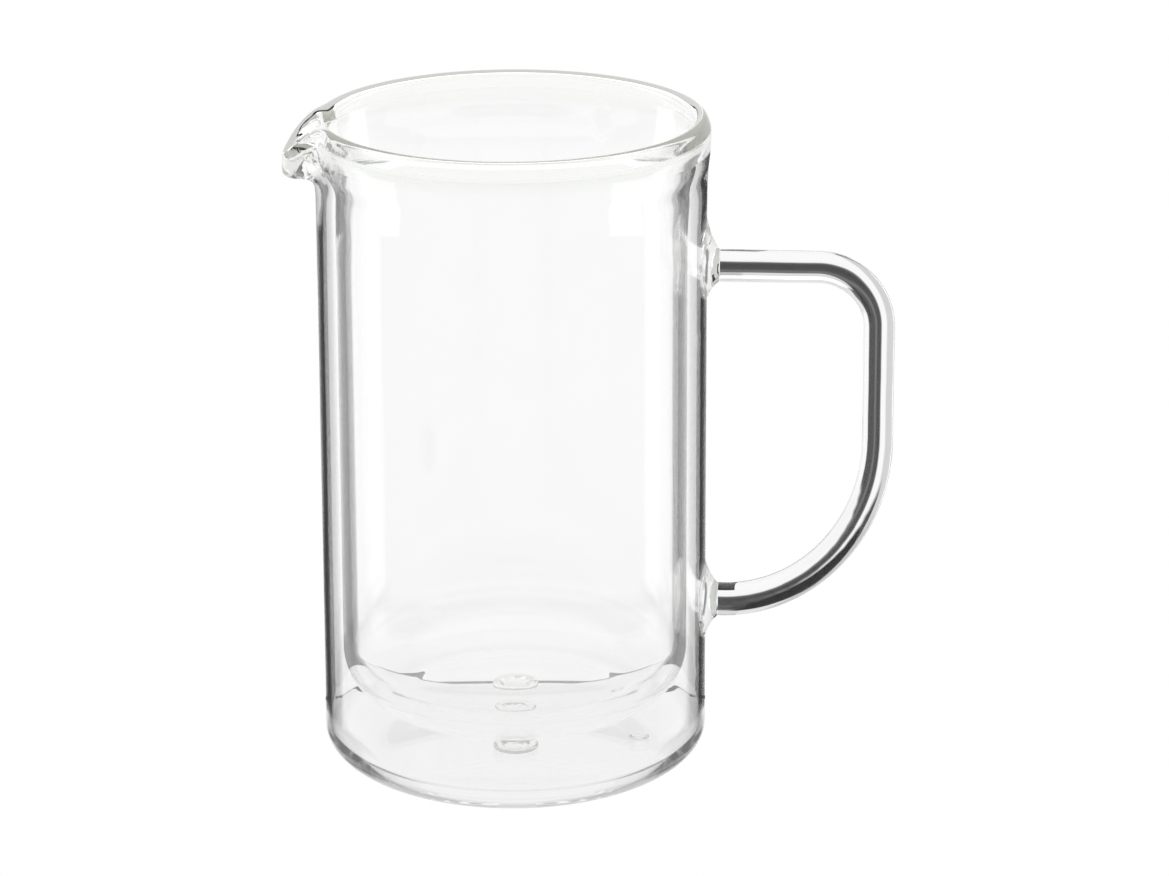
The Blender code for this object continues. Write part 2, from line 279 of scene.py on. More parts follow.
def draw_lip(points):
    """Moves points (in mm, one per row) of the soft rim out and down around the lip's direction."""
    p = points.copy()
    radius = np.hypot(p[:, 0], p[:, 1])
    turn = np.arctan2(p[:, 1], p[:, 0]) - LIP_ANGLE
    turn = (turn + math.pi) % math.tau - math.pi
    near = (np.abs(turn) < LIP_SPREAD) & (radius > SAME_POINT) & (p[:, 2] > SHOULDER_FOOT)
    r, z, a = radius[near], p[near, 2], turn[near]
    bump = np.cos(0.5 * math.pi * a / LIP_SPREAD) ** 2
    lean = np.clip((z - SHOULDER_FOOT) / (HEIGHT - SHOULDER_FOOT), 0.0, 1.0)
    inner = BORE_RADIUS + INNER_WALL + lean
    share = np.clip((r - inner) / (OUTER_RADIUS - inner), 0.0, 1.0)
    share = share * share * (3.0 - 2.0 * share)
    out_i, up_i = LIP_INSIDE_AT(z)
    out_o, up_o = LIP_OUTSIDE_AT(z)
    out = (out_i + (out_o - out_i) * share) * bump**LIP_OUT_POWER
    up = (up_i + (up_o - up_i) * share) * bump**LIP_DOWN_POWER
    stretch = 1.0 + out / r
    p[near, 0] *= stretch
    p[near, 1] *= stretch
    p[near, 2] += up
    return p


# ---------------------------------------------------------------- stations round the axis
def stations():
    """Angles round the whole turn, shared by every turned piece; the handle's patch comes first."""
    patch = PATCH_HALF / OUTER_RADIUS
    marks = []
    lip_start, lip_end = LIP_ANGLE - LIP_CUT, LIP_ANGLE + LIP_CUT
    patch_start, patch_end = HANDLE_ANGLE - patch, HANDLE_ANGLE + patch
    runs = [
        (patch_start, patch_end, PATCH_CELLS),
        (patch_end, lip_start, SIDE_CELLS),
        (lip_start, lip_end, LIP_CELLS),
        (lip_end, patch_start + math.tau, SIDE_CELLS),
    ]
    for start, end, count in runs:
        marks += [start + (end - start) * k / count for k in range(count)]
    return np.array(marks)


ANGLES = stations()
LIP_FIRST = PATCH_CELLS + SIDE_CELLS
LIP_LAST = LIP_FIRST + LIP_CELLS


# ---------------------------------------------------------------- meshes
def new_piece(name, points, faces, slots, materials):
    """A smooth-shaded closed piece from points in mm, with its joint faces in their own slot."""
    mesh = bpy.data.meshes.new(name)
    mesh.from_pydata([tuple(p) for p in np.asarray(points) * MM], [], faces)
    for material in materials:
        mesh.materials.append(material)
    mesh.polygons.foreach_set("material_index", slots)
    mesh.polygons.foreach_set("use_smooth", [True] * len(faces))
    bm = bmesh.new()
    bm.from_mesh(mesh)
    bmesh.ops.remove_doubles(bm, verts=bm.verts, dist=1e-8)
    bmesh.ops.recalc_face_normals(bm, faces=bm.faces)
    for edge in bm.edges:
        two = edge.link_faces
        edge.smooth = not (len(two) == 2 and two[0].material_index != two[1].material_index)
        if edge.smooth and len(two) == 2 and two[0].material_index == JOINT:
            edge.smooth = two[0].normal.dot(two[1].normal) > 0.5
    open_edges = sum(1 for edge in bm.edges if len(edge.link_faces) != 2)
    if open_edges:
        raise RuntimeError(f"{name} has {open_edges} open edges")
    bm.to_mesh(mesh)
    bm.free()
    item = bpy.data.objects.new(name, mesh)
    bpy.context.scene.collection.objects.link(item)
    return item


class Turned:
    """A closed outline of (radius, height, slot of the run that starts here), turned about Z."""

    def __init__(self):
        self.rows, self.tags = [], []

    def run(self, line, tag=GLASS):
        """Adds a line; its first point may repeat the last one."""
        line = [tuple(p) for p in line]
        if self.rows:
            self.tags[-1] = tag
            if math.dist(self.rows[-1], line[0]) < SAME_POINT:
                line = line[1:]
        self.rows += line
        self.tags += [tag] * len(line)

    def grid(self, first=0, last=None, pull=False):
        """Points, a ring of indices for each row, and whether the turn is whole or from first to last."""
        whole = last is None
        index = list(range(len(ANGLES))) if whole else list(range(first, last + 1))
        angles = ANGLES[np.array(index) % len(ANGLES)]
        points, rings = [], []
        for radius, height in self.rows:
            if radius < ON_AXIS:
                rings.append([len(points)] * len(angles))
                points.append((0.0, 0.0, height))
                continue
            rings.append(list(range(len(points), len(points) + len(angles))))
            points += [(radius * math.cos(a), radius * math.sin(a), height) for a in angles]
        points = np.array(points, float)
        return (draw_lip(points) if pull else points), rings, whole

    def faces(self, rings, whole, skip=()):
        """Quads and triangles with their slots, leaving out the cells (row, station) in skip."""
        found, slots = [], []
        count = len(rings[0])
        closed = self.rows[0][0] > ON_AXIS
        pairs = [(j, j + 1) for j in range(len(rings) - 1)] + ([(len(rings) - 1, 0)] if closed else [])
        for j, k in pairs:
            for i in range(count if whole else count - 1):
                if (j, i) in skip:
                    continue
                n = (i + 1) % count
                ring = [rings[j][i], rings[j][n], rings[k][n], rings[k][i]]
                face = [v for at, v in enumerate(ring) if v != ring[at - 1]]
                if len(face) > 2:
                    found.append(face)
                    slots.append(self.tags[j])
        return found, slots


# ---------------------------------------------------------------- patches of the jacket around the welds
def block_loop(cells):
    """The grid points round the edge of a square block of cells, as (across, up)."""
    steps = [(k, 0) for k in range(cells)]
    steps += [(cells, k) for k in range(cells)]
    steps += [(cells - k, cells) for k in range(cells)]
    steps += [(0, cells - k) for k in range(cells)]
    return steps


def footprint(polar, width, rise, drop):
    """Points of the oval footprint in the given directions."""
    tall = np.where(np.sin(polar) > 0.0, rise, drop)
    reach = 1.0 / np.sqrt((np.cos(polar) / width) ** 2 + (np.sin(polar) / tall) ** 2)
    return reach * np.cos(polar), reach * np.sin(polar)


# ---------------------------------------------------------------- materials
def noise_value(tree, scale, detail, low, high, stretch=(1.0, 1.0, 1.0)):
    """A noise in object coordinates, mapped to a range."""
    nodes, links = tree.nodes, tree.links
    place = nodes.new("ShaderNodeTexCoord")
    mapping = nodes.new("ShaderNodeMapping")
    mapping.inputs["Scale"].default_value = stretch
    noise = nodes.new("ShaderNodeTexNoise")
    noise.inputs["Scale"].default_value = scale
    noise.inputs["Detail"].default_value = detail
    span = nodes.new("ShaderNodeMapRange")
    span.inputs["From Min"].default_value = 0.3
    span.inputs["From Max"].default_value = 0.7
    span.inputs["To Min"].default_value = low
    span.inputs["To Max"].default_value = high
    links.new(place.outputs["Object"], mapping.inputs["Vector"])
    links.new(mapping.outputs["Vector"], noise.inputs["Vector"])
    links.new(noise.outputs["Fac"], span.inputs["Value"])
    return span.outputs["Result"]


def glass_material(name, tint, wave, stretch, scale, depth):
    """Clear glass with faint tone, polish and surface waves from noise; depth is in metres."""
    material = bpy.data.materials.new(name)
    material.use_nodes = True
    tree = material.node_tree
    nodes, links = tree.nodes, tree.links
    shader = nodes["Principled BSDF"]
    shader.inputs["IOR"].default_value = GLASS_INDEX
    shader.inputs["Transmission Weight"].default_value = 1.0
    shader.inputs["Metallic"].default_value = 0.0
    tone = noise_value(tree, 60.0, 3.0, 0.0, 1.0)
    mix = nodes.new("ShaderNodeMix")
    mix.data_type = "RGBA"
    mix.inputs["A"].default_value = (*tint[0], 1.0)
    mix.inputs["B"].default_value = (*tint[1], 1.0)
    links.new(tone, mix.inputs["Factor"])
    links.new(mix.outputs["Result"], shader.inputs["Base Color"])
    links.new(noise_value(tree, 240.0, 4.0, 0.0, 0.012), shader.inputs["Roughness"])
    bump = nodes.new("ShaderNodeBump")
    bump.inputs["Strength"].default_value = wave
    bump.inputs["Distance"].default_value = depth
    links.new(noise_value(tree, scale, 2.0, 0.0, 1.0, stretch), bump.inputs["Height"])
    links.new(bump.outputs["Normal"], shader.inputs["Normal"])
    return material


def joint_with_painted_glow_material(name, tone):
    """Fused joint inside the glass: clear, but light that has run far inside the walls ends in a painted
    glow of the tone, which stands in for the light it would carry.
    """
    material = bpy.data.materials.new(name)
    material.use_nodes = True
    material.cycles.emission_sampling = "NONE"
    tree = material.node_tree
    tree.nodes.clear()
    path = tree.nodes.new("ShaderNodeLightPath")
    far = tree.nodes.new("ShaderNodeMath")
    far.operation = "GREATER_THAN"
    far.inputs[1].default_value = LONG_WAY
    tree.links.new(path.outputs["Ray Depth"], far.inputs[0])
    clear = tree.nodes.new("ShaderNodeBsdfTransparent")
    # Painted glow: a fixed grey light in place of what a deep ray would find.
    painted_glow = tree.nodes.new("ShaderNodeEmission")
    painted_glow.inputs["Color"].default_value = (*tone, 1.0)
    mix = tree.nodes.new("ShaderNodeMixShader")
    out = tree.nodes.new("ShaderNodeOutputMaterial")
    tree.links.new(far.outputs["Value"], mix.inputs["Fac"])
    tree.links.new(clear.outputs["BSDF"], mix.inputs[1])
    tree.links.new(painted_glow.outputs["Emission"], mix.inputs[2])
    tree.links.new(mix.outputs["Shader"], out.inputs["Surface"])
    return material


GLASS_INDEX = 1.47
# Rays deeper than this that meet a joint face end in its painted grey glow.
LONG_WAY = 12.0  # bounces; a look straight through the jug has fewer
EVEN = (1.0, 1.0, 1.0)
BODY_TINT = ((0.994, 0.995, 0.994), (0.99, 0.992, 0.99))
RIM_TINT = ((0.985, 0.99, 0.98), (0.98, 0.985, 0.972))
ROD_TINT = ((0.985, 0.99, 0.985), (0.98, 0.985, 0.98))
GATHER_TINT = ((0.97, 0.975, 0.965), (0.9, 0.91, 0.89))
BODY = glass_material("body_glass_fine", BODY_TINT, 0.12, (1.0, 1.0, 0.25), 25.0, 0.0002)
RIM = glass_material("rim_glass_fine", RIM_TINT, 0.0, EVEN, 60.0, 0.0002)
ROD = glass_material("rod_glass_fine", ROD_TINT, 0.5, EVEN, 80.0, 0.0002)
WELD = glass_material("weld_glass_fine", ROD_TINT, 0.5, EVEN, 160.0, 0.0003)
GATHER = glass_material("gather_glass_fine", GATHER_TINT, 0.8, EVEN, 260.0, 0.0005)
# Joint faces: clear, with a painted grey glow for rays that have run far in the walls; the rim's painted
# glow is darker and greener.
SEAM_WITH_PAINTED_GLOW = joint_with_painted_glow_material("fused_joint_with_painted_glow", (0.62, 0.63, 0.60))
RIM_SEAM_WITH_PAINTED_GLOW = joint_with_painted_glow_material("fused_rim_joint_with_painted_glow", (0.40, 0.41, 0.36))


def stand_for(piece, node):
    """Puts the piece in the place of its CAD node."""
    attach(piece, "root")
    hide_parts(node)
    return piece


# ---------------------------------------------------------------- turned pieces
rim_line, rim_marks = spline(RIM_LINE, RIM_STEP)
BORE_JOINT = rim_marks[BORE_POINT]
OUTSIDE_JOINT = rim_marks[OUTSIDE_POINT]


def make_inner_vessel():
    bore_corner = (INNER_CORNER[0] - INNER_WALL, INNER_CORNER[1] - CORNER_DROP)
    bore_centre = (BORE_RADIUS - bore_corner[0], INNER_FLOOR + bore_corner[1])
    outer = BORE_RADIUS + INNER_WALL
    outer_centre = (outer - INNER_CORNER[0], INNER_UNDERSIDE + INNER_CORNER[1])
    foot = GATHER_RADIUS * GATHER_FOOT
    shape = Turned()
    shape.run([(0.0, INNER_FLOOR), (0.5 * foot, INNER_FLOOR), (foot, INNER_FLOOR)], JOINT)
    shape.run(straight((foot, INNER_FLOOR), (bore_centre[0], INNER_FLOOR), 8))
    shape.run(arc(bore_centre, bore_corner, -90, 0, 24))
    shape.run(straight((BORE_RADIUS, bore_centre[1]), RIM_LINE[0], 10))
    shape.run(rim_line[: BORE_JOINT + 1])
    shape.run([RIM_LINE[BORE_POINT], (VESSEL_TOP, RIM_JOINT)], JOINT)
    gap, _ = spline(GAP_VESSEL_SIDE, GAP_STEP)
    shape.run(gap)
    shape.run(straight(gap[-1], (outer, outer_centre[1]), 10))
    shape.run(arc(outer_centre, INNER_CORNER, 0, -90, 26))
    shape.run(straight((outer_centre[0], INNER_UNDERSIDE), (0.0, INNER_UNDERSIDE), 8))
    points, rings, whole = shape.grid(pull=True)
    faces, slots = shape.faces(rings, whole)
    piece = new_piece("inner_vessel_glass", points, faces, slots, (BODY, RIM_SEAM_WITH_PAINTED_GLOW))
    return stand_for(piece, "inner_vessel")


def cylinder_point(across, height):
    """A point on the jacket's outside, from the distance round it from the handle's plane and the height."""
    angle = HANDLE_ANGLE + across / OUTER_RADIUS
    return OUTER_RADIUS * np.cos(angle), OUTER_RADIUS * np.sin(angle), height


def loop_polar():
    """Directions from the patch's centre to each point of its square edge, and those points."""
    steps = np.array(block_loop(PATCH_CELLS), float)
    offset = (steps / PATCH_CELLS * 2.0 - 1.0) * PATCH_HALF
    return np.arctan2(offset[:, 1], offset[:, 0]), offset


POLAR, BLOCK = loop_polar()
INNER_RINGS = (0.66, 0.33)  # rings inside a footprint, as shares of it
OUTER_RINGS = 9  # rings between the patch's square edge and the footprint
RING_POWER = 0.8


def jacket_outline():
    """The jacket's outline, and the row at which each weld's square patch begins."""
    inside = OUTER_RADIUS - WALL
    shape = Turned()
    gap, _ = spline(GAP_JACKET_SIDE, GAP_STEP)
    shape.run(straight((inside, BASE_SEAM), gap[0], 12))
    shape.run(gap)
    shape.run([(JACKET_TOP, RIM_JOINT), RIM_LINE[OUTSIDE_POINT]], JOINT)
    top = UPPER_ARM + PATCH_HALF
    shape.run([p for p in rim_line[OUTSIDE_JOINT:] if p[1] > top + 0.3])
    starts = {"upper": len(shape.rows)}
    shape.run(straight((OUTER_RADIUS, top), (OUTER_RADIUS, UPPER_ARM - PATCH_HALF), PATCH_CELLS))
    high, low = LOWER_ARM + PATCH_HALF, LOWER_ARM - PATCH_HALF
    shape.run(straight((OUTER_RADIUS, UPPER_ARM - PATCH_HALF), (OUTER_RADIUS, high), 12))
    starts["lower"] = len(shape.rows) - 1
    shape.run(straight((OUTER_RADIUS, high), (OUTER_RADIUS, low), PATCH_CELLS))
    shape.run(straight((OUTER_RADIUS, low), (OUTER_RADIUS, BASE_SEAM), 4))
    shape.tags[-1] = JOINT
    return shape, starts


def patch_faces(which, edge, points):
    """Fills a square patch with rings that lead from its edge to the weld's footprint and centre."""
    arm, *size = WELD_FOOTPRINTS[which]
    foot = np.stack(footprint(POLAR, *size), 1)
    flats = [BLOCK + (foot - BLOCK) * (k / OUTER_RINGS) ** RING_POWER for k in range(1, OUTER_RINGS + 1)]
    flats += [foot * scale for scale in INNER_RINGS]
    loops = [edge]
    for flat in flats:
        loops.append(list(range(len(points), len(points) + len(flat))))
        points += [cylinder_point(a, arm + u) for a, u in flat]
    centre = len(points)
    points.append(cylinder_point(0.0, arm))
    faces, slots = [], []
    for k, (outer_loop, inner_loop) in enumerate(zip(loops, loops[1:])):
        for i in range(len(outer_loop)):
            n = (i + 1) % len(outer_loop)
            faces.append([outer_loop[i], outer_loop[n], inner_loop[n], inner_loop[i]])
            slots.append(GLASS if k < OUTER_RINGS else JOINT)
    for i in range(len(loops[-1])):
        faces.append([loops[-1][i], loops[-1][(i + 1) % len(loops[-1])], centre])
        slots.append(JOINT)
    return faces, slots


def make_outer_jacket():
    shape, starts = jacket_outline()
    points, rings, whole = shape.grid(pull=True)
    cells = range(PATCH_CELLS)
    skip = {(row + j, i) for row in starts.values() for j in cells for i in cells}
    faces, slots = shape.faces(rings, whole, skip)
    points = list(points)
    for which, row in starts.items():
        edge = [rings[row + PATCH_CELLS - up][across] for across, up in block_loop(PATCH_CELLS)]
        more_faces, more_slots = patch_faces(which, edge, points)
        faces += more_faces
        slots += more_slots
    piece = new_piece("outer_jacket_glass", np.array(points), faces, slots, (BODY, SEAM_WITH_PAINTED_GLOW))
    return stand_for(piece, "outer_jacket")


def make_base_cup():
    inner_corner = (BASE_CORNER[0] - WALL, BASE_CORNER[1] - CORNER_DROP)
    inner_centre = (OUTER_RADIUS - BASE_CORNER[0], BASE_FLOOR + inner_corner[1])
    outer_centre = (OUTER_RADIUS - BASE_CORNER[0], BASE_CORNER[1])
    inside = OUTER_RADIUS - WALL
    foot = GATHER_RADIUS * GATHER_FOOT
    shape = Turned()
    shape.run(straight((0.0, 0.0), (outer_centre[0], 0.0), 10))
    shape.run(arc(outer_centre, BASE_CORNER, -90, 0, 28))
    shape.run(straight((OUTER_RADIUS, BASE_CORNER[1]), (OUTER_RADIUS, BASE_SEAM), 3))
    shape.run([(OUTER_RADIUS, BASE_SEAM), (inside, BASE_SEAM)], JOINT)
    shape.run(straight((inside, BASE_SEAM), (inside, inner_centre[1]), 2))
    shape.run(arc(inner_centre, inner_corner, 0, -90, 26))
    shape.run(straight((inner_centre[0], BASE_FLOOR), (foot, BASE_FLOOR), 9))
    shape.run([(foot, BASE_FLOOR), (0.5 * foot, BASE_FLOOR), (0.0, BASE_FLOOR)], JOINT)
    points, rings, whole = shape.grid()
    faces, slots = shape.faces(rings, whole)
    piece = new_piece("base_cup_glass", points, faces, slots, (BODY, SEAM_WITH_PAINTED_GLOW))
    return stand_for(piece, "base_cup")


def make_rim(name, node, first, last):
    """The stretch of the rim between two stations, closed by a fused joint at each end."""
    shape = Turned()
    shape.run(rim_line[BORE_JOINT : OUTSIDE_JOINT + 1])
    shape.run([RIM_LINE[OUTSIDE_POINT], (JACKET_TOP, RIM_JOINT)], JOINT)
    shape.run(spline(GAP_CROWN, CROWN_STEP)[0])
    shape.tags[-1] = JOINT
    points, rings, whole = shape.grid(first, last, pull=True)
    faces, slots = shape.faces(rings, whole)
    for at in (0, -1):
        faces.append([ring[at] for ring in rings])
        slots.append(JOINT)
    piece = new_piece(name, points, faces, slots, (RIM, RIM_SEAM_WITH_PAINTED_GLOW))
    return stand_for(piece, node)


def bead(name, node, radius, height, section, step, foot, place):
    """A low round bead with the given section; foot is its flat underside, from the axis out."""
    top, _ = spline([(r * radius, h * height) for r, h in section], step)
    shape = Turned()
    shape.run([(r * radius, 0.0) for r in foot], JOINT if len(foot) > 2 else GLASS)
    shape.run([(max(r, 0.0), h) for r, h in top])
    shape.rows[-1] = (0.0, shape.rows[-1][1])
    points, rings, whole = shape.grid()
    points += np.array(place)
    faces, slots = shape.faces(rings, whole)
    piece = new_piece(name, points, faces, slots, (GATHER, SEAM_WITH_PAINTED_GLOW))
    return stand_for(piece, node)


def make_gather(node, floor):
    """The small mark left where the flame closed a floor, fused to it."""
    foot = (0.0, 0.5 * GATHER_FOOT, GATHER_FOOT)
    size = (GATHER_RADIUS, GATHER_HEIGHT, GATHER_SECTION)
    return bead(f"{node}_glass", node, *size, 0.3, foot, (0.0, 0.0, floor))


def make_vent():
    """The sealed vent: a low bead on the base's floor."""
    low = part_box("vent_seal")[0].z / MM
    size = (VENT_RADIUS, VENT_HEIGHT, VENT_SECTION)
    return bead("vent_seal_glass", "vent_seal", *size, 0.2, (0.0, VENT_SECTION[0][0]), (*VENT_PLACE, low))


# ---------------------------------------------------------------- handle
ACROSS = np.array([-math.sin(HANDLE_ANGLE), math.cos(HANDLE_ANGLE), 0.0])
OUTWARD = np.array([math.cos(HANDLE_ANGLE), math.sin(HANDLE_ANGLE), 0.0])
UP = np.array([0.0, 0.0, 1.0])


def rod_path():
    """(reach, height) along the rod, closely spaced, and the rod's radius at each point."""
    upper, grip, lower = ROD_SWELL
    quarter = 0.5 * math.pi
    turn, top = GRIP_REACH - UPPER_BEND, UPPER_ARM - UPPER_BEND
    path = [(WELD_REACH + t, UPPER_ARM) for t in np.linspace(0.0, turn - WELD_REACH, 20)]
    for t in np.linspace(quarter, 0.0, 31)[1:]:
        path.append((turn + UPPER_BEND * math.cos(t), top + UPPER_BEND * math.sin(t)))
    low = LOWER_ARM + LOWER_BEND
    for z in np.linspace(top, low, 20)[1:]:
        path.append((GRIP_REACH, z))
    centre = WELD_REACH + ROD_STUB
    for t in np.linspace(0.0, -quarter, 61)[1:]:
        path.append((centre + (GRIP_REACH - centre) * math.cos(t), low + LOWER_BEND * math.sin(t)))
    path.append((WELD_REACH, LOWER_ARM))
    path = np.array(path)
    along = np.concatenate([[0.0], np.cumsum(np.linalg.norm(np.diff(path, axis=0), axis=1))])
    share = along / along[-1]
    thick = np.interp(share, [0.0, 0.25, 0.45, 0.75, 1.0], [upper, 1.0, grip, 1.0, lower])
    return path, thick * ROD_RADIUS


def make_rod():
    path, radii = rod_path()
    tangent = np.gradient(path, axis=0)
    tangent /= np.linalg.norm(tangent, axis=1)[:, None]
    tangent[0], tangent[-1] = (1.0, 0.0), (-1.0, 0.0)
    points, faces, slots, loops = [], [], [], []
    for (reach, height), (tr, tz), radius in zip(path, tangent, radii):
        normal = -tz * OUTWARD + tr * UP
        centre = reach * OUTWARD + height * UP
        loops.append(list(range(len(points), len(points) + len(POLAR))))
        points += [centre + radius * (math.cos(a) * ACROSS + math.sin(a) * normal) for a in POLAR]
    for low, high in zip(loops, loops[1:]):
        for i in range(len(low)):
            n = (i + 1) % len(low)
            faces.append([low[i], low[n], high[n], high[i]])
            slots.append(GLASS)
    faces += [loops[0], loops[-1]]
    slots += [JOINT, JOINT]
    piece = new_piece("handle_rod_glass", np.array(points), faces, slots, (ROD, SEAM_WITH_PAINTED_GLOW))
    return stand_for(piece, "handle_rod")


def make_weld(which):
    """Gather that flares from the rod down to its footprint on the jacket."""
    arm, width, rise, drop = WELD_FOOTPRINTS[which]
    neck = ROD_RADIUS * (ROD_SWELL[0] if which == "upper" else ROD_SWELL[2])
    foot = np.stack(footprint(POLAR, width, rise, drop), 1)
    ring = neck * np.stack([np.cos(POLAR), np.sin(POLAR)], 1)
    points, faces, slots, loops = [], [], [], []

    def add(rows):
        loops.append(list(range(len(points), len(points) + len(rows))))
        points.extend(rows)

    for scale in INNER_RINGS[::-1]:
        add([np.array(cylinder_point(a * scale, arm + u * scale)) for a, u in foot])
    add([np.array(cylinder_point(a, arm + u)) for a, u in foot])
    first_flare = len(loops)
    for k in range(1, WELD_STEPS + 1):
        share = k / WELD_STEPS
        t = 0.5 * math.pi * share
        spread = (1.0 - WELD_CONE) * (1.0 - math.sin(t)) + WELD_CONE * (1.0 - share)
        flat = ring + (foot - ring) * spread
        lift = (1.0 - WELD_CONE) * (1.0 - math.cos(t)) + WELD_CONE * share
        rows = []
        for a, u in flat:
            turn = a / OUTER_RADIUS
            on = OUTER_RADIUS * math.cos(turn)
            side = OUTER_RADIUS * math.sin(turn) * (1.0 - lift) + a * lift
            rows.append((on + (WELD_REACH - on) * lift) * OUTWARD + side * ACROSS + (arm + u) * UP)
        add(rows)
    for k, (low, high) in enumerate(zip(loops, loops[1:])):
        for i in range(len(low)):
            n = (i + 1) % len(low)
            faces.append([low[i], low[n], high[n], high[i]])
            slots.append(JOINT if k < first_flare - 1 else GLASS)
    centre = len(points)
    points.append(np.array(cylinder_point(0.0, arm)))
    for i in range(len(loops[0])):
        faces.append([loops[0][i], loops[0][(i + 1) % len(loops[0])], centre])
        slots.append(JOINT)
    faces.append(loops[-1])
    slots.append(JOINT)
    piece = new_piece(f"handle_weld_{which}_glass", np.array(points), faces, slots, (WELD, SEAM_WITH_PAINTED_GLOW))
    return stand_for(piece, f"handle_weld_{which}")


make_inner_vessel()
make_outer_jacket()
make_base_cup()
make_rim("rim_bead_glass", "rim_bead", LIP_LAST, len(ANGLES) + LIP_FIRST)
make_rim("pouring_lip_glass", "pouring_lip", LIP_FIRST, LIP_LAST)
make_gather("inner_floor_gather", INNER_FLOOR)
make_gather("base_floor_gather", BASE_FLOOR)
make_vent()
make_rod()
make_weld("upper")
make_weld("lower")


# ---------------------------------------------------------------- camera
CAMERA_AIM = Vector((18.4, 0.0, 88.0)) * MM
CAMERA_DISTANCE = 1.225  # metres
CAMERA_ELEVATION = math.radians(17.9)
CAMERA_ROLL = math.radians(-0.17)
CAMERA_LENS, CAMERA_SENSOR = 145.6, 36.0


def make_camera():
    data = bpy.data.cameras.new("camera")
    data.sensor_width = CAMERA_SENSOR
    data.lens = CAMERA_LENS
    camera = bpy.data.objects.new("camera", data)
    bpy.context.scene.collection.objects.link(camera)
    back = Vector((0.0, -math.cos(CAMERA_ELEVATION), math.sin(CAMERA_ELEVATION)))
    right = Vector((1.0, 0.0, 0.0))
    up = back.cross(right)
    r = math.cos(CAMERA_ROLL) * right + math.sin(CAMERA_ROLL) * up
    u = back.cross(r)
    place = Matrix((r, u, back)).transposed().to_4x4()
    place.translation = CAMERA_AIM + back * CAMERA_DISTANCE
    camera.matrix_world = place
    bpy.context.scene.camera = camera
    return camera


camera = make_camera()


# ---------------------------------------------------------------- studio
# The jug is shot as on a turntable: tents and cards keep their places around it as seen by the camera.
# A tent is dimmed inside patches of directions, (left, right, soft, low, high, soft, depth), in degrees:
# azimuth to the right of the camera's view, elevation above the horizon. Depth is the share of light taken.
def math_node(tree, operation, *inputs):
    """The output of a Math node fed with sockets or numbers."""
    node = tree.nodes.new("ShaderNodeMath")
    node.operation = operation
    for socket, value in zip(node.inputs, inputs):
        if isinstance(value, (int, float)):
            socket.default_value = value
        else:
            tree.links.new(value, socket)
    return node.outputs[0]


def smooth_step(tree, value, start, end, low=0.0, high=1.0):
    """A value that goes softly from low to high between start and end."""
    node = tree.nodes.new("ShaderNodeMapRange")
    node.interpolation_type = "SMOOTHSTEP"
    tree.links.new(value, node.inputs["Value"])
    for name, number in (("From Min", start), ("From Max", end), ("To Min", low), ("To Max", high)):
        node.inputs[name].default_value = number
    return node.outputs["Result"]


def band(tree, value, low, high, soft):
    """1 between two limits, 0 outside, with soft edges."""
    rise = smooth_step(tree, value, low - soft, low + soft)
    fall = smooth_step(tree, value, high - soft, high + soft, 1.0, 0.0)
    return math_node(tree, "MULTIPLY", rise, fall)


def tent_material(name, level, patches):
    """Light from all round, dimmed inside patches, added to whatever lies behind it."""
    material = bpy.data.materials.new(name)
    material.use_nodes = True
    material.cycles.emission_sampling = "NONE"
    tree = material.node_tree
    tree.nodes.clear()
    place = tree.nodes.new("ShaderNodeTexCoord")
    unit = tree.nodes.new("ShaderNodeVectorMath")
    unit.operation = "NORMALIZE"
    tree.links.new(place.outputs["Object"], unit.inputs[0])
    split = tree.nodes.new("ShaderNodeSeparateXYZ")
    tree.links.new(unit.outputs[0], split.inputs[0])
    bearing = math_node(tree, "ARCTAN2", split.outputs["X"], split.outputs["Y"])
    azimuth = math_node(tree, "DEGREES", bearing)
    elevation = math_node(tree, "DEGREES", math_node(tree, "ARCSINE", split.outputs["Z"]))
    strength = level
    for left, right, side_soft, low, high, rise_soft, depth in patches:
        across = band(tree, azimuth, left, right, side_soft)
        inside = math_node(tree, "MULTIPLY", across, band(tree, elevation, low, high, rise_soft))
        kept = math_node(tree, "SUBTRACT", 1.0, math_node(tree, "MULTIPLY", inside, depth))
        strength = math_node(tree, "MULTIPLY", strength, kept)
    light = tree.nodes.new("ShaderNodeEmission")
    light.inputs["Color"].default_value = (1.0, 1.0, 1.0, 1.0)
    tree.links.new(strength, light.inputs["Strength"])
    add_light(tree, light)
    return material


def add_light(tree, light):
    """The surface gives light and lets everything behind it through."""
    clear = tree.nodes.new("ShaderNodeBsdfTransparent")
    add = tree.nodes.new("ShaderNodeAddShader")
    out = tree.nodes.new("ShaderNodeOutputMaterial")
    tree.links.new(light.outputs["Emission"], add.inputs[0])
    tree.links.new(clear.outputs["BSDF"], add.inputs[1])
    tree.links.new(add.outputs["Shader"], out.inputs["Surface"])


def panel_material(name, level, solid):
    """An even light, which hides what lies behind it if it is solid."""
    material = bpy.data.materials.new(name)
    material.use_nodes = True
    material.cycles.emission_sampling = "NONE"
    tree = material.node_tree
    tree.nodes.clear()
    light = tree.nodes.new("ShaderNodeEmission")
    light.inputs["Strength"].default_value = level
    if solid:
        out = tree.nodes.new("ShaderNodeOutputMaterial")
        tree.links.new(light.outputs["Emission"], out.inputs["Surface"])
    else:
        add_light(tree, light)
    return material


def receivers(name, *pieces):
    """The pieces that a light works on."""
    group = bpy.data.collections.new(name)
    for piece in pieces:
        group.objects.link(piece)
    return group


def stage_piece(name, mesh, material, parent, group):
    """A light of the studio, seen only through or in the glass of its group of pieces."""
    mesh.materials.append(material)
    item = bpy.data.objects.new(name, mesh)
    bpy.context.scene.collection.objects.link(item)
    item.parent = parent
    item.visible_camera = False
    item.visible_diffuse = False
    item.visible_shadow = False
    item.light_linking.receiver_collection = group
    return item


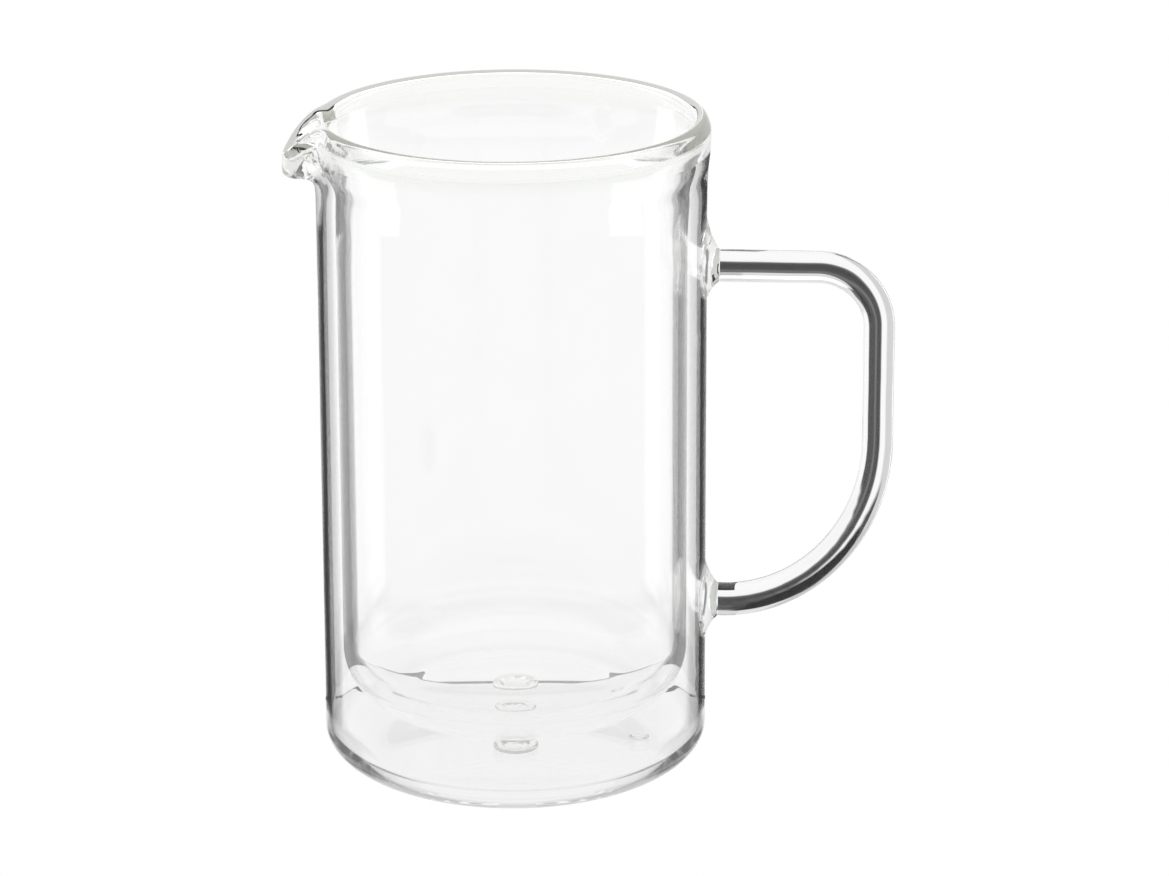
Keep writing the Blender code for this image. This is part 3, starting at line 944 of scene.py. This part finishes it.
def tent(name, radius, level, patches, parent, group):
    """A large light tent round the jug. No two share a radius, as coincident ones would hide each other."""
    mesh = bpy.data.meshes.new(name)
    bm = bmesh.new()
    bmesh.ops.create_icosphere(bm, subdivisions=4, radius=radius)
    bm.to_mesh(mesh)
    bm.free()
    item = stage_piece(name, mesh, tent_material(name, level, patches), parent, group)
    item.location = (0.0, 0.0, TENT_CENTRE)


def panel(name, outline, level, parent, group, solid=False):
    """An even card; its corners are in mm from the jug's axis and foot, with y away from the camera."""
    corners, faces = outline
    mesh = bpy.data.meshes.new(name)
    mesh.from_pydata([Vector(c) * MM for c in corners], [], faces)
    stage_piece(name, mesh, panel_material(name, level, solid), parent, group)


def upright(left, right, bottom, top, behind):
    """Corners and face of an upright card."""
    corners = [(left, behind, bottom), (right, behind, bottom), (right, behind, top), (left, behind, top)]
    return corners, [(0, 1, 2, 3)]


def level_with(left, right, front, back, height):
    """Corners and face of a level card."""
    corners = [(left, front, height), (right, front, height), (right, back, height), (left, back, height)]
    return corners, [(0, 1, 2, 3)]


def ring_part(inner, outer, height):
    """Corners and faces of the front part of a flat ring round the jug's foot."""
    turns = [math.radians(a) for a in range(-80, 81, 4)]
    corners = [(r * math.sin(a), -r * math.cos(a), height) for a in turns for r in (inner, outer)]
    return corners, [(i, i + 1, i + 3, i + 2) for i in range(0, 2 * len(turns) - 2, 2)]


def make_world():
    """White behind the jug for the camera, and a nearly dark room for the glass."""
    world = bpy.data.worlds.new("studio")
    bpy.context.scene.world = world
    world.use_nodes = True
    tree = world.node_tree
    tree.nodes.clear()
    nodes, links = tree.nodes, tree.links
    seen = nodes.new("ShaderNodeBackground")
    seen.inputs["Color"].default_value = (1.0, 1.0, 1.0, 1.0)
    seen.inputs["Strength"].default_value = 1.0
    around = nodes.new("ShaderNodeBackground")
    around.inputs["Color"].default_value = (1.0, 1.0, 1.0, 1.0)
    around.inputs["Strength"].default_value = ROOM_LEVEL
    path = nodes.new("ShaderNodeLightPath")
    mix = nodes.new("ShaderNodeMixShader")
    out = nodes.new("ShaderNodeOutputWorld")
    links.new(path.outputs["Is Camera Ray"], mix.inputs["Fac"])
    links.new(around.outputs["Background"], mix.inputs[1])
    links.new(seen.outputs["Background"], mix.inputs[2])
    links.new(mix.outputs["Shader"], out.inputs["Surface"])


def make_floor():
    """A plain white floor that only the camera sees."""
    mesh = bpy.data.meshes.new("floor")
    w = FLOOR_HALF
    mesh.from_pydata([(-w, -w, 0), (w, -w, 0), (w, w, 0), (-w, w, 0)], [], [(0, 1, 2, 3)])
    material = bpy.data.materials.new("floor_white")
    material.use_nodes = True
    tree = material.node_tree
    tree.nodes.clear()
    light = tree.nodes.new("ShaderNodeEmission")
    out = tree.nodes.new("ShaderNodeOutputMaterial")
    tree.links.new(light.outputs["Emission"], out.inputs["Surface"])
    mesh.materials.append(material)
    item = bpy.data.objects.new("floor", mesh)
    bpy.context.scene.collection.objects.link(item)
    item.location = (0.0, 0.0, FLOOR_Z)
    item.visible_transmission = False
    item.visible_glossy = False


def make_turntable():
    """An empty on the jug's axis that turns with the camera's azimuth."""
    table = bpy.data.objects.new("turntable", None)
    bpy.context.scene.collection.objects.link(table)
    follow = table.constraints.new("COPY_ROTATION")
    follow.target = camera
    follow.use_x = False
    follow.use_y = False
    return table


def pieces_of(*starts):
    """The visual pieces whose names start so."""
    return [o for o in bpy.context.scene.objects if o.name.endswith("_glass") and o.name.startswith(starts)]


FLOOR_HALF, FLOOR_Z = 6.0, -0.0002
TENT_CENTRE = 0.09
ROOM_LEVEL = 0.015
BODY_PATCHES = [
    (-185.0, 185.0, 3.0, 0.0, 45.0, 4.0, 0.85),
    (-50.0, 50.0, 3.0, -38.0, 72.0, 5.0, 0.96),
]
RIM_PATCHES = [
    (-60.0, -14.0, 6.0, -95.0, 15.0, 6.0, 0.2),
    (14.0, 60.0, 6.0, -95.0, 15.0, 6.0, 0.2),
]
BASE_PATCHES = [
    (-185.0, 185.0, 3.0, 14.0, 50.0, 5.0, 0.5),
    (-75.0, -20.0, 6.0, -60.0, 30.0, 6.0, 0.7),
    (20.0, 75.0, 6.0, -60.0, 30.0, 6.0, 0.7),
]
WELD_PATCHES = [
    (-75.0, -20.0, 6.0, -60.0, 30.0, 6.0, 0.75),
    (20.0, 75.0, 6.0, -60.0, 30.0, 6.0, 0.75),
]
HANDLE_PATCHES = [
    (-2.0, 34.0, 2.0, -25.0, 10.0, 2.0, 0.88),
    (0.0, 9.0, 2.0, -22.0, -6.0, 3.0, 0.9),
    (14.0, 32.0, 2.0, -24.0, 1.0, 2.0, 0.85),
    (-25.0, 0.0, 2.0, -12.0, 15.0, 2.0, 1.0),
    (-55.0, -17.0, 3.0, -95.0, 95.0, 2.0, 0.35),
    (-185.0, 185.0, 3.0, -2.0, 60.0, 3.0, 0.2),
]
TABLE_Z = -7.5
LEFT, RIGHT, BACK = -63.5, 61.0, 60.0  # edges of the table and of the card behind it
make_world()
make_floor()
turntable = make_turntable()

body_pieces = pieces_of("inner", "outer", "vent")
base_pieces = pieces_of("base")
rim_pieces = pieces_of("rim", "pouring")
weld_pieces = pieces_of("handle_weld")
body = receivers("body_receivers", *body_pieces)
base = receivers("base_receivers", *base_pieces)
rim = receivers("rim_receivers", *rim_pieces)
weld = receivers("weld_receivers", *weld_pieces)
jug = receivers("jug_receivers", *body_pieces, *base_pieces, *rim_pieces, *weld_pieces)
handle = receivers("handle_receivers", *pieces_of("handle_rod"))

tent("body_tent", 12.0, 0.93, BODY_PATCHES, turntable, body)
tent("base_tent", 11.5, 0.93, BASE_PATCHES, turntable, base)
tent("rim_tent", 11.0, 0.95, RIM_PATCHES, turntable, rim)
tent("weld_tent", 10.5, 0.93, WELD_PATCHES, turntable, weld)
tent("handle_tent", 10.0, 0.95, HANDLE_PATCHES, turntable, handle)

back = upright(LEFT, RIGHT, TABLE_Z + 0.8, 400.0, BACK)
# A dimmer ring card just under the front of the base, seen only through the base: a painted contact shadow
# where the base meets the table.
contact_shadow_ring = ring_part(48.6, 51.0, -0.6)
table = level_with(LEFT, RIGHT, LEFT, BACK, TABLE_Z)
edge = upright(LEFT, RIGHT, TABLE_Z, TABLE_Z + 1.0, BACK - 0.5)
apron = level_with(-150.0, 150.0, -150.0, -20.0, TABLE_Z - 0.1)
left_window = upright(-47.0, -35.0, 126.0, 145.0, BACK - 1.0)
right_window = upright(28.0, 40.0, 126.0, 145.0, BACK - 1.0)
beside_arm = upright(50.0, 112.0, 134.0, 160.0, BACK)

panel("back_card", back, 0.93, turntable, body)
# Painted contact shadow under the base's edge.
panel("painted_contact_shadow_ring", contact_shadow_ring, 0.45, turntable, base, solid=True)
panel("table_card", table, 0.9, turntable, jug, solid=True)
panel("table_edge", edge, 0.1, turntable, jug, solid=True)
panel("table_apron", apron, 0.9, turntable, jug, solid=True)
panel("left_window", left_window, 0.09, turntable, body)
panel("right_window", right_window, 0.09, turntable, body)
panel("arm_card", beside_arm, 0.62, turntable, handle)

BOUNCES = 150  # light runs far inside the walls before it leaves them
scene = bpy.context.scene
scene.view_settings.view_transform = "Standard"
scene.view_settings.look = "None"
scene.cycles.max_bounces = BOUNCES
scene.cycles.transmission_bounces = BOUNCES
scene.cycles.glossy_bounces = BOUNCES
scene.cycles.transparent_max_bounces = BOUNCES
scene.cycles.caustics_refractive = True
scene.cycles.caustics_reflective = True
scene.cycles.blur_glossy = 0.0
